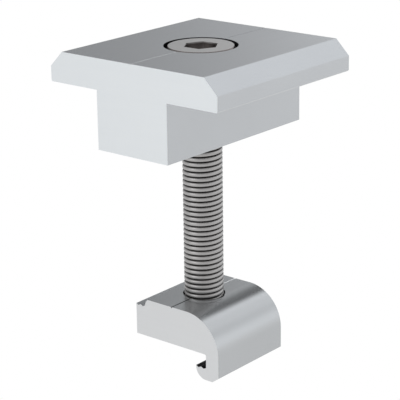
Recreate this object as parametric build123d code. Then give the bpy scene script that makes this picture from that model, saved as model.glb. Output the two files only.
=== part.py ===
"""Solar mid clamp: a T-shaped clamp body, a socket head bolt and a hooked rail nut.

Frame: +Z up along the bolt, Y along both extrusions (the rail's length), X across them.
The origin is on the bolt's axis, level with the lowest point of the nut's hook.
All sizes are in millimetres.
"""
from build123d import *
from math import radians, tan
import os

# ---- clamp body: one T-shaped extrusion ----
body_length = 40.0         # cut length along the rail
flange_width = 40.3        # across both wings
flange_thickness = 6.0     # top face to the wings' underside
flange_chamfer = 3.0       # on the long top edges
edge_break = 0.2           # on the wings' lower outer edges
stem_width = 17.0          # the gap that it keeps between two module frames
stem_depth = 11.5          # below the wings' underside

# ---- bolt: M8 socket head cap screw ----
thread_diameter = 8.0
bolt_length = 50.0         # under the head
head_diameter = 13.0
head_height = 8.0
head_edge = 0.35           # chamfer round the head's top
neck_fillet = 0.4          # between the head's underside and the shank
tip_chamfer = 0.8
hex_size = 6.0             # across the socket's flats
hex_depth = 4.5
hex_turn = 3.0             # degrees about the bolt's axis, at rest
socket_cone_angle = 118.0  # drill point at the socket's floor, degrees

# ---- how the bolt sits in the clamp body ----
head_recess = 0.1          # head's top below the body's top face
head_gap = 0.65            # round the head, in its counterbore
shank_gap = 0.5            # round the shank, in its through hole

# ---- nut: a short extrusion with a hook along one side ----
nut_length = 20.0
nut_thickness = 7.75       # top face to underside
nut_left = 9.2             # bolt axis to the ledge's outer wall
nut_right = 11.6           # bolt axis to the hook leg's outer wall
shoulder_radius = 7.8      # rounded shoulder over the hook leg
leg_thickness = 3.05
hook_height = 13.1         # top face to the lowest point of the hook
lip_nose = 0.15            # upright end of the lip, between its teeth and its round underside
hook_bevel_run = 1.5       # bevel between the hook's bottom and the leg's outer wall
hook_bevel_rise = 1.1
lip_reach = 2.5            # hook lip beyond the leg's inner wall
slot_height = 2.8          # underside to the tips of the lip's teeth
slot_fillet = 0.4          # in the corner between the underside and the leg
ledge_width = 2.25         # the toothed step that the rail's edge bears on
ledge_drop = 1.35          # top face to the tips of the ledge's teeth
riser_run = 0.25           # lean of the step's wall
riser_bevel = 0.5          # on the step's upper edge
tooth_depth = 0.3          # both toothed faces
teeth = 2                  # on each toothed face

# ---- how the bolt sits in the nut ----
thread_gap = 0.05          # round the thread's crests
bore_countersink = 0.4     # at both ends of the threaded hole
thread_past_nut = 0.2      # bolt tip beyond the nut's underside, at rest

# ---- centring grooves along the top of the body and of the nut ----
groove_width = 0.3
body_groove_depth = 0.1
nut_groove_depth = 0.3

# ---- heights, from the hook's lowest point up ----
nut_top = hook_height
nut_underside = nut_top - nut_thickness
bolt_tip = nut_underside - thread_past_nut
head_seat = bolt_tip + bolt_length
head_top = head_seat + head_height
body_top = head_top + head_recess
wing_underside = body_top - flange_thickness
stem_bottom = wing_underside - stem_depth

thread_radius = thread_diameter / 2
head_radius = head_diameter / 2


def extrude_profile(profile, length):
    """Extrude a profile drawn in X and Z, half the length to each side of Y = 0."""
    return extrude(Plane.XZ * profile, amount=length / 2, both=True)


def centring_groove(top, depth, length):
    """A V-shaped cut along the middle of a top face."""
    half = groove_width / 2
    outline = Polyline((-half, top), (half, top), (0, top - depth), close=True)
    return extrude_profile(make_face(outline), length)


def vertical_cylinder(radius, bottom, top):
    """A cylinder on the bolt's axis, between two heights."""
    return Pos(0, 0, bottom) * extrude(Circle(radius), amount=top - bottom)


def make_clamp_body():
    """The T-shaped body, with its counterbored hole and centring groove."""
    wing = flange_width / 2
    stem = stem_width / 2
    right_side = [
        (wing - flange_chamfer, body_top),
        (wing, body_top - flange_chamfer),
        (wing, wing_underside + edge_break),
        (wing - edge_break, wing_underside),
        (stem, wing_underside),
        (stem, stem_bottom),
    ]
    left_side = [(-x, z) for x, z in reversed(right_side)]
    outline = Polyline(*right_side, *left_side, close=True)
    body = extrude_profile(make_face(outline), body_length)
    body -= vertical_cylinder(head_radius + head_gap, head_seat, body_top)
    body -= vertical_cylinder(thread_radius + shank_gap, stem_bottom, head_seat)
    return body - centring_groove(body_top, body_groove_depth, body_length)


def make_socket_bolt():
    """The socket head bolt. Its thread is plain at the crest diameter."""
    head = vertical_cylinder(head_radius, head_seat, head_top)
    head = chamfer(head.edges().group_by(Axis.Z)[-1], head_edge)
    shank = vertical_cylinder(thread_radius, bolt_tip, head_seat)
    shank = chamfer(shank.edges().group_by(Axis.Z)[0], tip_chamfer)
    bolt = head + shank
    neck = bolt.edges().filter_by(GeomType.CIRCLE).filter_by(
        lambda edge: abs(edge.center().Z - head_seat) < thread_gap
        and abs(edge.radius - thread_radius) < thread_gap
    )
    bolt = fillet(neck, neck_fillet)
    socket_floor = head_top - hex_depth
    socket = RegularPolygon(hex_size / 2, 6, major_radius=False, rotation=hex_turn)
    bolt -= Pos(0, 0, socket_floor) * extrude(socket, amount=hex_depth)
    return bolt - socket_cone(socket_floor)


def socket_cone(socket_floor):
    """The drill point left under the hexagonal socket."""
    radius = hex_size / 2
    cone_depth = radius / tan(radians(socket_cone_angle / 2))
    return Pos(0, 0, socket_floor - cone_depth / 2) * Cone(0, radius, cone_depth)


def toothed_line(start, end, depth):
    """Points of a row of V teeth from start to end: tips on the line, valleys below it."""
    (x_start, z), (x_end, _) = start, end
    step = (x_end - x_start) / (2 * teeth)
    points = []
    for index in range(2 * teeth + 1):
        valley = depth if index % 2 else 0.0
        points.append((x_start + index * step, z - valley))
    return points


def make_hook_nut():
    """The nut's profile: toothed ledge, flat top, round shoulder, leg and toothed hook lip."""
    ledge_end = ledge_width - nut_left
    ledge_tips = nut_top - ledge_drop
    leg_inner = nut_right - leg_thickness
    lip_tips = nut_underside - slot_height
    lip_end = leg_inner - lip_reach
    hook_radius = lip_tips - lip_nose
    hook_centre = (lip_end + hook_radius, hook_radius)
    bevel_end = (nut_right - hook_bevel_run, 0)
    shoulder_start = (nut_right - shoulder_radius, nut_top)
    shoulder_end = (nut_right, nut_top - shoulder_radius)

    ledge = toothed_line((-nut_left, ledge_tips), (ledge_end, ledge_tips), tooth_depth)
    riser_top = (ledge_end + riser_run, nut_top - riser_bevel)
    bevel_top = (riser_top[0] + riser_bevel, nut_top)
    top_run = Polyline((-nut_left, nut_underside), *ledge, riser_top, bevel_top, shoulder_start)
    shoulder = RadiusArc(shoulder_start, shoulder_end, shoulder_radius)
    leg = Polyline(shoulder_end, (nut_right, hook_bevel_rise), bevel_end, (hook_centre[0], 0))
    hook = CenterArc(hook_centre, hook_radius, -90, -90)
    lip = toothed_line((lip_end, lip_tips), (leg_inner, lip_tips), tooth_depth)
    lip_run = Polyline((lip_end, hook_centre[1]), *lip, (leg_inner, nut_underside))
    underside = Line((leg_inner, nut_underside), (-nut_left, nut_underside))
    profile = make_face([top_run, shoulder, leg, hook, lip_run, underside])
    slot_corner = profile.vertices().filter_by(
        lambda corner: abs(corner.X - leg_inner) < slot_fillet
        and abs(corner.Y - nut_underside) < slot_fillet
    )
    profile = fillet(slot_corner, slot_fillet)

    nut = extrude_profile(profile, nut_length)
    bore = thread_radius + thread_gap
    nut -= vertical_cylinder(bore, nut_underside, nut_top)
    sink = Cone(bore, bore + bore_countersink, bore_countersink)
    nut -= Pos(0, 0, nut_top - bore_countersink / 2) * sink
    nut -= Pos(0, 0, nut_underside + bore_countersink / 2) * Rot(X=180) * sink
    return nut - centring_groove(nut_top, nut_groove_depth, nut_length)


pieces = {
    "clamp_body": make_clamp_body(),
    "socket_bolt": make_socket_bolt(),
    "hook_nut": make_hook_nut(),
}

os.makedirs("parts", exist_ok=True)
for name, shape in pieces.items():
    export_step(shape, f"parts/{name}.step")
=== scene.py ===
"""The looks of the solar mid clamp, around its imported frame. All lengths are in metres."""
import math

import bmesh
import bpy
from mathutils import Matrix, Vector


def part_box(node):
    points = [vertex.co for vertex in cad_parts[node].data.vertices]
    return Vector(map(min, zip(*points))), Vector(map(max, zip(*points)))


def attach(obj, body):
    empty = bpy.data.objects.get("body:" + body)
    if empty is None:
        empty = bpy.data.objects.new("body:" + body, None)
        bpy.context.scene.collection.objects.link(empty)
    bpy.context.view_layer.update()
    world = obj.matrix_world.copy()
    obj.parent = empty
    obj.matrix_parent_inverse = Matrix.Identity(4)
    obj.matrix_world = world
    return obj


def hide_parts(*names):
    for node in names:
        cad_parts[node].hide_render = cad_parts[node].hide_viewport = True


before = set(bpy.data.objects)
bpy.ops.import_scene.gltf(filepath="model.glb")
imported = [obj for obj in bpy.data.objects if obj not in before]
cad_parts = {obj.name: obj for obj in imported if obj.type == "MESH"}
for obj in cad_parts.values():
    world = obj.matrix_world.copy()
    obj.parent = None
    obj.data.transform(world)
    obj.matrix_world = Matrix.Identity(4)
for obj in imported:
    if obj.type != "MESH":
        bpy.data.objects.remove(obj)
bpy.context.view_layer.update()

clamp_low, clamp_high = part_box("clamp_body")
bolt_low, bolt_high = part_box("socket_bolt")
nut_low, nut_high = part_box("hook_nut")


# ---------------------------------------------------------------- sizes

MM = 0.001
EDGE = 0.01 * MM              # two places closer than this are on the same face
WELD = 0.001 * MM             # two vertices closer than this are one
RIM_REACH = 0.5 * MM          # a rim lies within this of its cylinder

HEAD_HEIGHT = 8.0 * MM
HEAD_RADIUS = 6.5 * MM
HEAD_RIM = 6.32 * MM          # radius of the head's flat top
HEAD_LIFT = 0.08 * MM         # brings the head almost level with the body's top
NECK = 0.6 * MM               # plain shank kept below the head

THREAD_RADIUS = 3.93 * MM     # over the crests
THREAD_DEPTH = 0.52 * MM
THREAD_PITCH = 1.0 * MM
THREAD_PHASE = 0.12 * MM      # lifts the whole helix, to set the heights of its crests
THREAD_OVERLAP = 0.3 * MM     # how far the thread runs up into the neck
TIP_CHAMFER = 0.8 * MM
THREAD_FACETS = 96            # in one turn

# one turn of the thread, from root to root: share of the pitch, share of the depth
THREAD_PROFILE = (
    (0.00, 1.00), (0.07, 1.00), (0.15, 0.45), (0.24, 0.12), (0.38, 0.02),
    (0.54, 0.00), (0.70, 0.02), (0.84, 0.12), (0.93, 0.45),
)

NUT_HOLE = 4.05 * MM
NUT_RIM = 4.2 * MM            # upper rim of the nut's countersink


# ---------------------------------------------------------------- colours and zones

CLAMP_SKIN = (0.56, 0.578, 0.598)
CLAMP_CUT = (0.79, 0.82, 0.84)
NUT_SKIN = (0.53, 0.545, 0.557)
NUT_CUT = (0.725, 0.735, 0.745)
# painted light and painted shade in the centring grooves
GROOVE_PAINTED_LIGHT = (0.82, 0.83, 0.84)
GROOVE_PAINTED_SHADE = (0.01, 0.01, 0.01)
RECESS_SHADE = (0.05, 0.05, 0.052)  # painted shade in the bores and the hook

# steel: the dull and bright ends of its clouding, and its painted shade
HEAD_STEEL = ((0.66, 0.65, 0.64), (0.74, 0.73, 0.72), (0.20, 0.18, 0.175))
THREAD_STEEL = ((0.42, 0.415, 0.41), (0.50, 0.49, 0.485), (0.055, 0.05, 0.05))

CUT_FACING = 0.7              # a face is a cut end where its normal leans at least this far along Y
BODY_BORE = 7.2 * MM          # the body has painted shade within this radius, inside its counterbore and hole
NUT_BORE = 4.21 * MM          # and the nut within this one, as far as its countersink's rim
GROOVE_HALF = 0.16 * MM       # half the width of the centring grooves
GROOVE_REACH = 0.4 * MM       # deeper than either groove
CREST_BAND = 0.1 * MM         # the thread is free of painted shade this close to its crests
SHADE_FADES = 0.25 * MM         # the bolt's painted shade fades out from this far below its top
SHADE_ENDS = 0.05 * MM          # to this far below it

# painted shade in the hook's slot: from the nut's hook side inwards, above its lowest point and below its top
HOOK_SLOT_NEAR = 2.9 * MM
HOOK_SLOT_FAR = 6.0 * MM
HOOK_SLOT_FLOOR = 2.0 * MM
HOOK_SLOT_ROOF = 7.9 * MM


# ---------------------------------------------------------------- node trees

class Graph:
    """The node tree of a material or a world, with short calls that add nodes and link them."""

    def __init__(self, owner):
        owner.use_nodes = True
        self.tree = owner.node_tree

    def feed(self, node, inputs):
        """Link or set a node's inputs, from a table of their names or numbers."""
        for key, value in inputs.items():
            socket = node.inputs[key]
            if isinstance(value, bpy.types.NodeSocket):
                self.tree.links.new(value, socket)
            elif socket.type == "RGBA":
                socket.default_value = (*value, 1.0)
            else:
                socket.default_value = value

    def add(self, kind, inputs=None, **settings):
        """Add a node with these settings and inputs."""
        node = self.tree.nodes.new(kind)
        for key, value in settings.items():
            setattr(node, key, value)
        self.feed(node, inputs or {})
        return node

    def maths(self, operation, *values):
        """A maths node on sockets or numbers."""
        return self.add("ShaderNodeMath", dict(enumerate(values)), operation=operation).outputs[0]

    def vector_maths(self, operation, *values, result="Vector"):
        """The same on vectors."""
        node = self.add("ShaderNodeVectorMath", dict(enumerate(values)), operation=operation)
        return node.outputs[result]

    def split(self, vector):
        """The X, Y and Z of a vector, by name."""
        return self.add("ShaderNodeSeparateXYZ", {"Vector": vector}).outputs

    def ramp(self, value, start, end):
        """Map a value along a straight run between two ends, each given as (value, result)."""
        return self.add("ShaderNodeMapRange", {
            "Value": value, "From Min": start[0], "To Min": start[1], "From Max": end[0], "To Max": end[1],
        }).outputs["Result"]

    def blend(self, factor, first, second):
        """Mix two numbers."""
        inputs = {"Factor": factor, 2: first, 3: second}
        return self.add("ShaderNodeMix", inputs, data_type="FLOAT").outputs[0]

    def blend_colours(self, factor, first, second):
        """Mix two colours."""
        inputs = {"Factor": factor, 6: first, 7: second}
        return self.add("ShaderNodeMix", inputs, data_type="RGBA").outputs[2]

    def noise(self, place, scale, detail=2.0, stretch=(1.0, 1.0, 1.0)):
        """A noise texture, drawn out along the axes where stretch is below 1."""
        mapped = self.add("ShaderNodeMapping", {"Vector": place, "Scale": stretch}).outputs["Vector"]
        inputs = {"Vector": mapped, "Scale": scale, "Detail": detail}
        return self.add("ShaderNodeTexNoise", inputs).outputs["Fac"]

    def bump(self, height, strength, distance):
        """Surface normals of a fine relief."""
        inputs = {"Height": height, "Strength": strength, "Distance": distance}
        return self.add("ShaderNodeBump", inputs).outputs["Normal"]

    def off_axis(self, place):
        """How far a place is from the Z axis, and its height."""
        parts = self.split(place)
        flat = self.add("ShaderNodeCombineXYZ", {"X": parts["X"], "Y": parts["Y"]}).outputs["Vector"]
        return self.vector_maths("LENGTH", flat, result="Value"), parts["Z"]

    def in_box(self, place, low, high):
        """1 inside a box, 0 outside it."""
        middle = [(a + b) / 2 for a, b in zip(low, high)]
        half = [(b - a) / 2 for a, b in zip(low, high)]
        offset = self.vector_maths("ABSOLUTE", self.vector_maths("SUBTRACT", place, middle))
        share = self.split(self.vector_maths("DIVIDE", offset, half))
        largest = self.maths("MAXIMUM", self.maths("MAXIMUM", share["X"], share["Y"]), share["Z"])
        return self.maths("LESS_THAN", largest, 1.0)

    def in_bore(self, place, radius, bottom, top):
        """1 inside a radius round the Z axis and between two heights, 0 elsewhere."""
        distance, height = self.off_axis(place)
        near = self.maths("LESS_THAN", distance, radius)
        under = self.maths("LESS_THAN", height, top)
        over = self.maths("GREATER_THAN", height, bottom)
        return self.maths("MULTIPLY", near, self.maths("MULTIPLY", under, over))


# ---------------------------------------------------------------- materials

def new_material(name):
    """A new material, its node tree and its shader."""
    material = bpy.data.materials.new(name)
    graph = Graph(material)
    return material, graph, graph.tree.nodes["Principled BSDF"]


def shades(colour, spread):
    """A darker and a lighter shade of a colour."""
    return [c * (1 - spread) for c in colour], [c * (1 + spread) for c in colour]


def extruded_aluminium(name, skin, cut, bore, painted_boxes):
    """Mill-finish extrusion: die lines along Y on the long faces, fine saw marks on the cut ends.

    It has painted shade inside the bore (radius, bottom, top). Each box is a low corner, a high corner and
    the painted light or painted shade colour of the long faces that lie in it.
    """
    material, graph, shader = new_material(name)
    coordinates = graph.add("ShaderNodeTexCoord").outputs
    place = coordinates["Object"]

    # 1 on the cut ends, which face along Y, and 0 on the long faces
    facing_y = graph.maths("ABSOLUTE", graph.split(coordinates["Normal"])["Y"])
    is_cut = graph.maths("GREATER_THAN", facing_y, CUT_FACING)

    cloud = graph.noise(place, scale=60.0, detail=3.0)
    die_lines = graph.noise(place, scale=900.0, stretch=(1.0, 0.012, 1.0))
    saw_marks = graph.noise(place, scale=1100.0, stretch=(0.04, 1.0, 1.0))

    skin_colour = graph.blend_colours(cloud, *shades(skin, spread=0.04))
    # each box paints light or shade over the long faces inside it
    for low, high, colour in painted_boxes:
        skin_colour = graph.blend_colours(graph.in_box(place, low, high), skin_colour, colour)
    cut_colour = graph.blend_colours(cloud, *shades(cut, spread=0.015))
    colour_outside_bore = graph.blend_colours(is_cut, skin_colour, cut_colour)

    skin_roughness = graph.ramp(die_lines, (0.0, 0.23), (1.0, 0.29))
    cut_roughness = graph.ramp(saw_marks, (0.0, 0.44), (1.0, 0.54))
    relief = graph.blend(is_cut, die_lines, saw_marks)
    # the base colour has painted shade inside the bore
    graph.feed(shader, {
        "Base Color": graph.blend_colours(graph.in_bore(place, *bore), colour_outside_bore, RECESS_SHADE),
        "Metallic": 0.85,
        "Roughness": graph.blend(is_cut, skin_roughness, cut_roughness),
        "Normal": graph.bump(relief, strength=0.06, distance=0.02 * MM),
    })
    return material


def bolt_steel(name, dull, bright, hollow_shade, roughness):
    """Plain stainless steel, with painted shade in the thread's root, in the socket and outside the head's
    rim.
    """
    material, graph, shader = new_material(name)
    place = graph.add("ShaderNodeTexCoord").outputs["Object"]
    cloud = graph.noise(place, scale=350.0, detail=3.0)
    grain = graph.noise(place, scale=4000.0)

    radius, height = graph.off_axis(place)
    root = THREAD_RADIUS - THREAD_DEPTH
    in_root = graph.ramp(radius, (root, 1.0), (THREAD_RADIUS - CREST_BAND, 0.0))
    below_top = graph.ramp(height, (bolt_high.z - SHADE_FADES, 1.0), (bolt_high.z - SHADE_ENDS, 0.0))
    past_rim = graph.maths("GREATER_THAN", radius, HEAD_RIM)
    # painted shade in the thread's root and the socket, and past the head's rim
    hollow_shade_mask = graph.maths("MAXIMUM", graph.maths("MULTIPLY", in_root, below_top), past_rim)

    graph.feed(shader, {
        "Base Color": graph.blend_colours(hollow_shade_mask, graph.blend_colours(cloud, dull, bright), hollow_shade),
        "Metallic": 0.95,
        "Roughness": graph.ramp(cloud, (0.0, roughness), (1.0, roughness + 0.1)),
        "Normal": graph.bump(grain, strength=0.08, distance=0.01 * MM),
    })
    return material


def dress(obj, material):
    """Give an object one material, in place of any that it has."""
    obj.data.materials.clear()
    obj.data.materials.append(material)


# ---------------------------------------------------------------- pieces

def new_piece(name, data, material):
    """An object with this mesh and material, linked to the scene."""
    piece = bpy.data.objects.new(name, data)
    bpy.context.scene.collection.objects.link(piece)
    dress(piece, material)
    return piece


def set_radius(vertex, radius):
    """Move a vertex straight in or out, to a radius round the Z axis."""
    scale = radius / math.hypot(vertex.co.x, vertex.co.y)
    vertex.co.x *= scale
    vertex.co.y *= scale


def close_holes(mesh):
    """Close each open loop of edges with a face."""
    bmesh.ops.holes_fill(mesh, edges=[edge for edge in mesh.edges if edge.is_boundary], sides=0)


def groove_box(top, front, back, colour):
    """The zone of a centring groove in a top face, between two places along Y, with its painted light or
    shade colour.
    """
    return (-GROOVE_HALF, front, top - GROOVE_REACH), (GROOVE_HALF, back, top - EDGE), colour


def make_clamp():
    """The clamp body as in the frame. Its groove has painted light in front of the bolt."""
    groove = groove_box(clamp_high.z, clamp_low.y, 0.0, GROOVE_PAINTED_LIGHT)
    bore = (BODY_BORE, clamp_low.z + EDGE, clamp_high.z - EDGE)
    material = extruded_aluminium("clamp_aluminium", CLAMP_SKIN, CLAMP_CUT, bore, (groove,))
    dress(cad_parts["clamp_body"], material)


def make_nut():
    """The nut as in the frame, with its upper countersink drawn in to a thin ring.

    Its groove has painted shade in front of the bolt and painted light behind it, and painted shade inside
    the hook.
    """
    hook_slot_shade = (
        (nut_high.x - HOOK_SLOT_FAR, nut_low.y, nut_low.z + HOOK_SLOT_FLOOR),
        (nut_high.x - HOOK_SLOT_NEAR, nut_high.y, nut_high.z - HOOK_SLOT_ROOF),
        RECESS_SHADE,
    )
    painted_zones = (
        groove_box(nut_high.z, nut_low.y, 0.0, GROOVE_PAINTED_SHADE),
        groove_box(nut_high.z, 0.0, nut_high.y, GROOVE_PAINTED_LIGHT),
        hook_slot_shade,
    )
    bore = (NUT_BORE, nut_low.z, nut_high.z + EDGE)
    material = extruded_aluminium("nut_aluminium", NUT_SKIN, NUT_CUT, bore, painted_zones)

    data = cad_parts["hook_nut"].data.copy()
    data.name = "rail_nut"
    for vertex in data.vertices:
        past_hole = math.hypot(vertex.co.x, vertex.co.y) - NUT_HOLE
        if abs(vertex.co.z - nut_high.z) < EDGE and EDGE < past_hole < RIM_REACH:
            set_radius(vertex, NUT_RIM)
    nut = new_piece("rail_nut", data, material)
    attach(nut, "nut")
    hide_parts("hook_nut")


def make_head(cut):
    """The bolt's head as in the frame, down to the cut, with a wider flat top and lifted a little."""
    mesh = bmesh.new()
    mesh.from_mesh(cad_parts["socket_bolt"].data)
    bmesh.ops.remove_doubles(mesh, verts=mesh.verts, dist=WELD)
    everything = mesh.verts[:] + mesh.edges[:] + mesh.faces[:]
    below = (0, 0, -1)
    bmesh.ops.bisect_plane(mesh, geom=everything, plane_co=(0, 0, cut), plane_no=below, clear_outer=True)
    close_holes(mesh)
    for vertex in mesh.verts:
        short_of_side = HEAD_RADIUS - math.hypot(vertex.co.x, vertex.co.y)
        if abs(vertex.co.z - bolt_high.z) < EDGE and short_of_side < RIM_REACH:
            set_radius(vertex, HEAD_RIM)
    bmesh.ops.translate(mesh, verts=mesh.verts, vec=(0, 0, HEAD_LIFT))
    return mesh


def make_thread(bottom, top):
    """A right-handed helical thread on the Z axis, with a chamfered tip and closed ends."""
    mesh = bmesh.new()
    tip_radius = THREAD_RADIUS - TIP_CHAMFER
    turns = math.ceil((top - bottom) / THREAD_PITCH) + 2
    start = bottom - THREAD_PITCH + THREAD_PHASE
    rows = []
    for turn in range(turns):
        for share, depth in THREAD_PROFILE:
            row = []
            for step in range(THREAD_FACETS + 1):
                angle = 2 * math.pi * step / THREAD_FACETS
                z = start + (turn + share + step / THREAD_FACETS) * THREAD_PITCH
                z = min(max(z, bottom), top)
                radius = min(THREAD_RADIUS - depth * THREAD_DEPTH, tip_radius + (z - bottom))
                if z >= top or z <= bottom:
                    radius = tip_radius
                row.append(mesh.verts.new((radius * math.cos(angle), radius * math.sin(angle), z)))
            rows.append(row)
    for lower, upper in zip(rows, rows[1:]):
        for step in range(THREAD_FACETS):
            mesh.faces.new((lower[step], lower[step + 1], upper[step + 1], upper[step]))
    # each row ends where the one a turn above it begins
    for row, next_turn in zip(rows, rows[len(THREAD_PROFILE):]):
        row[-1].co = next_turn[0].co
    bmesh.ops.remove_doubles(mesh, verts=mesh.verts, dist=2 * WELD)
    bmesh.ops.dissolve_degenerate(mesh, dist=WELD, edges=mesh.edges)
    close_holes(mesh)
    bmesh.ops.recalc_face_normals(mesh, faces=mesh.faces)
    return mesh


def make_bolt():
    """The bolt in two pieces: its head, and a helical thread below it."""
    cut = bolt_high.z - HEAD_HEIGHT - NECK
    head_material = bolt_steel("bolt_head_steel", *HEAD_STEEL, roughness=0.28)
    thread_material = bolt_steel("bolt_thread_steel", *THREAD_STEEL, roughness=0.36)
    thread = make_thread(bolt_low.z, cut + THREAD_OVERLAP)
    for name, mesh, material, smooth_degrees in (
        ("bolt_head", make_head(cut), head_material, 30.0),
        ("bolt_thread", thread, thread_material, 40.0),
    ):
        data = bpy.data.meshes.new(name)
        mesh.to_mesh(data)
        mesh.free()
        data.shade_smooth()
        data.set_sharp_from_angle(angle=math.radians(smooth_degrees))
        piece = new_piece(name, data, material)
        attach(piece, "bolt")
        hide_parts("socket_bolt")


# ---------------------------------------------------------------- studio

FLOOR_DROP = 250 * MM         # the clamp is shown held up, so the floor lies well below it
FLOOR_SIZE = 12.0

# in reflections the floor is a little darker near the clamp than farther off: (Y, brightness)
FLOOR_NEAR = (0.88, 0.895)
FLOOR_FAR = (1.06, 0.975)

# brightness of the room behind the clamp, from its left (-X) to its right: a grey wall with one paler
# stretch and a dark corner, and then a bright soft panel
ROOM_BEHIND = (
    (-1.0, 0.30), (-0.67, 0.34), (-0.60, 0.49), (-0.54, 0.76), (-0.46, 0.66), (-0.30, 0.26), (-0.15, 0.06),
    (-0.04, 0.06), (0.03, 1.75), (0.14, 1.55), (0.24, 1.23), (0.40, 1.34), (0.56, 1.02), (1.0, 0.98),
)
ROOM_TINT = (0.997, 1.01, 1.027)
ROOM_IN_FRONT = (0.62, 0.62, 0.62)
ROOM_JOIN = 0.2               # the two halves of the room blend over this much to either side of Y = 0

# the room behind is brighter low down than high up: (Z, brightness)
ROOM_LOW = (0.18, 1.13)
ROOM_HIGH = (0.4, 0.775)

KEY_PLACE = (-0.25, -0.75, 0.15)
KEY_TARGET = (0, 0, 30 * MM)
KEY_SIZE = 0.5
KEY_POWER = 0.8


def stage_material():
    """White for the camera and in reflections, pale and shaded for the rest of the light."""
    material, graph, shader = new_material("stage_white")
    graph.feed(shader, {"Base Color": (0.8, 0.8, 0.8), "Roughness": 0.9})
    path = graph.add("ShaderNodeLightPath").outputs
    direct = graph.maths("MAXIMUM", path["Is Camera Ray"], path["Is Glossy Ray"])
    seen = graph.maths("MAXIMUM", direct, path["Is Transmission Ray"])
    place = graph.split(graph.add("ShaderNodeTexCoord").outputs["Object"])
    reflected = graph.ramp(place["Y"], FLOOR_NEAR, FLOOR_FAR)
    strength = graph.blend(path["Is Glossy Ray"], 1.0, reflected)
    glow = graph.add("ShaderNodeEmission", {"Strength": strength})
    shown = graph.add("ShaderNodeMixShader", {"Fac": seen, 1: shader.outputs[0], 2: glow.outputs[0]})
    graph.feed(graph.tree.nodes["Material Output"], {"Surface": shown.outputs[0]})
    return material


def make_floor():
    """A plain floor below the clamp."""
    bpy.ops.mesh.primitive_plane_add(size=FLOOR_SIZE, location=(0, 0, -FLOOR_DROP))
    floor = bpy.context.object
    floor.name = "studio_floor"
    dress(floor, stage_material())


def make_room():
    """The world: a room of uneven brightness behind the clamp, and an even grey one in front of it."""
    world = bpy.data.worlds.new("studio_room")
    bpy.context.scene.world = world
    graph = Graph(world)
    direction = graph.split(graph.add("ShaderNodeTexCoord").outputs["Generated"])
    across = graph.ramp(direction["X"], (-1.0, 0.0), (1.0, 1.0))
    behind = graph.add("ShaderNodeValToRGB", {"Fac": across})
    stops = behind.color_ramp.elements
    while len(stops) < len(ROOM_BEHIND):
        stops.new(0.5)       # the loop below places it
    for stop, (side, level) in zip(stops, ROOM_BEHIND):
        stop.position = (side + 1) / 2
        stop.color = (*(level * tint for tint in ROOM_TINT), 1.0)
    inputs = {0: behind.outputs["Color"], "Scale": graph.ramp(direction["Z"], ROOM_LOW, ROOM_HIGH)}
    graded = graph.add("ShaderNodeVectorMath", inputs, operation="SCALE").outputs["Vector"]
    in_front = graph.ramp(direction["Y"], (ROOM_JOIN, 0.0), (-ROOM_JOIN, 1.0))
    room = graph.blend_colours(in_front, graded, ROOM_IN_FRONT)
    graph.feed(graph.tree.nodes["Background"], {"Color": room})


def make_key_lamp():
    """One square soft lamp, in front of the clamp and to its left."""
    data = bpy.data.lights.new("key_front", "AREA")
    data.shape = "SQUARE"
    data.size = KEY_SIZE
    data.energy = KEY_POWER
    lamp = bpy.data.objects.new("key_front", data)
    lamp.location = KEY_PLACE
    aim = Vector(KEY_TARGET) - Vector(KEY_PLACE)
    lamp.rotation_euler = aim.to_track_quat("-Z", "Y").to_euler()
    bpy.context.scene.collection.objects.link(lamp)


# ---------------------------------------------------------------- camera

CAMERA_AZIMUTH = math.radians(39.878)
CAMERA_ELEVATION = math.radians(17.956)
CAMERA_ROLL = math.radians(-0.777)
CAMERA_DISTANCE = 299.70 * MM
CAMERA_RIGHT = -0.582 * MM
CAMERA_UP = -2.198 * MM
CAMERA_TARGET_DROP = 28.5 * MM    # below the body's top face
CAMERA_LENS = 138.44              # in millimetres, as the sensor is
CAMERA_SENSOR = 36.0
CAMERA_CLIP = (0.01, 50.0)


def make_camera():
    """The camera at the same angle, distance and framing as the picture that is followed."""
    back = Vector((
        math.sin(CAMERA_AZIMUTH) * math.cos(CAMERA_ELEVATION),
        -math.cos(CAMERA_AZIMUTH) * math.cos(CAMERA_ELEVATION),
        math.sin(CAMERA_ELEVATION),
    ))
    right = Vector((math.cos(CAMERA_AZIMUTH), math.sin(CAMERA_AZIMUTH), 0))
    up = back.cross(right)
    target = Vector((0, 0, clamp_high.z - CAMERA_TARGET_DROP))
    position = target + back * CAMERA_DISTANCE + right * CAMERA_RIGHT + up * CAMERA_UP
    rolled_right = right * math.cos(CAMERA_ROLL) + up * math.sin(CAMERA_ROLL)
    rolled_up = up * math.cos(CAMERA_ROLL) - right * math.sin(CAMERA_ROLL)
    data = bpy.data.cameras.new("camera")
    data.lens = CAMERA_LENS
    data.sensor_width = CAMERA_SENSOR
    data.clip_start, data.clip_end = CAMERA_CLIP
    camera = bpy.data.objects.new("camera", data)
    camera.matrix_world = Matrix((
        (rolled_right.x, rolled_up.x, back.x, position.x),
        (rolled_right.y, rolled_up.y, back.y, position.y),
        (rolled_right.z, rolled_up.z, back.z, position.z),
        (0, 0, 0, 1),
    ))
    bpy.context.scene.collection.objects.link(camera)
    bpy.context.scene.camera = camera


make_clamp()
make_nut()
make_bolt()
make_floor()
make_room()
make_key_lamp()
make_camera()
bpy.context.scene.view_settings.view_transform = "Standard"
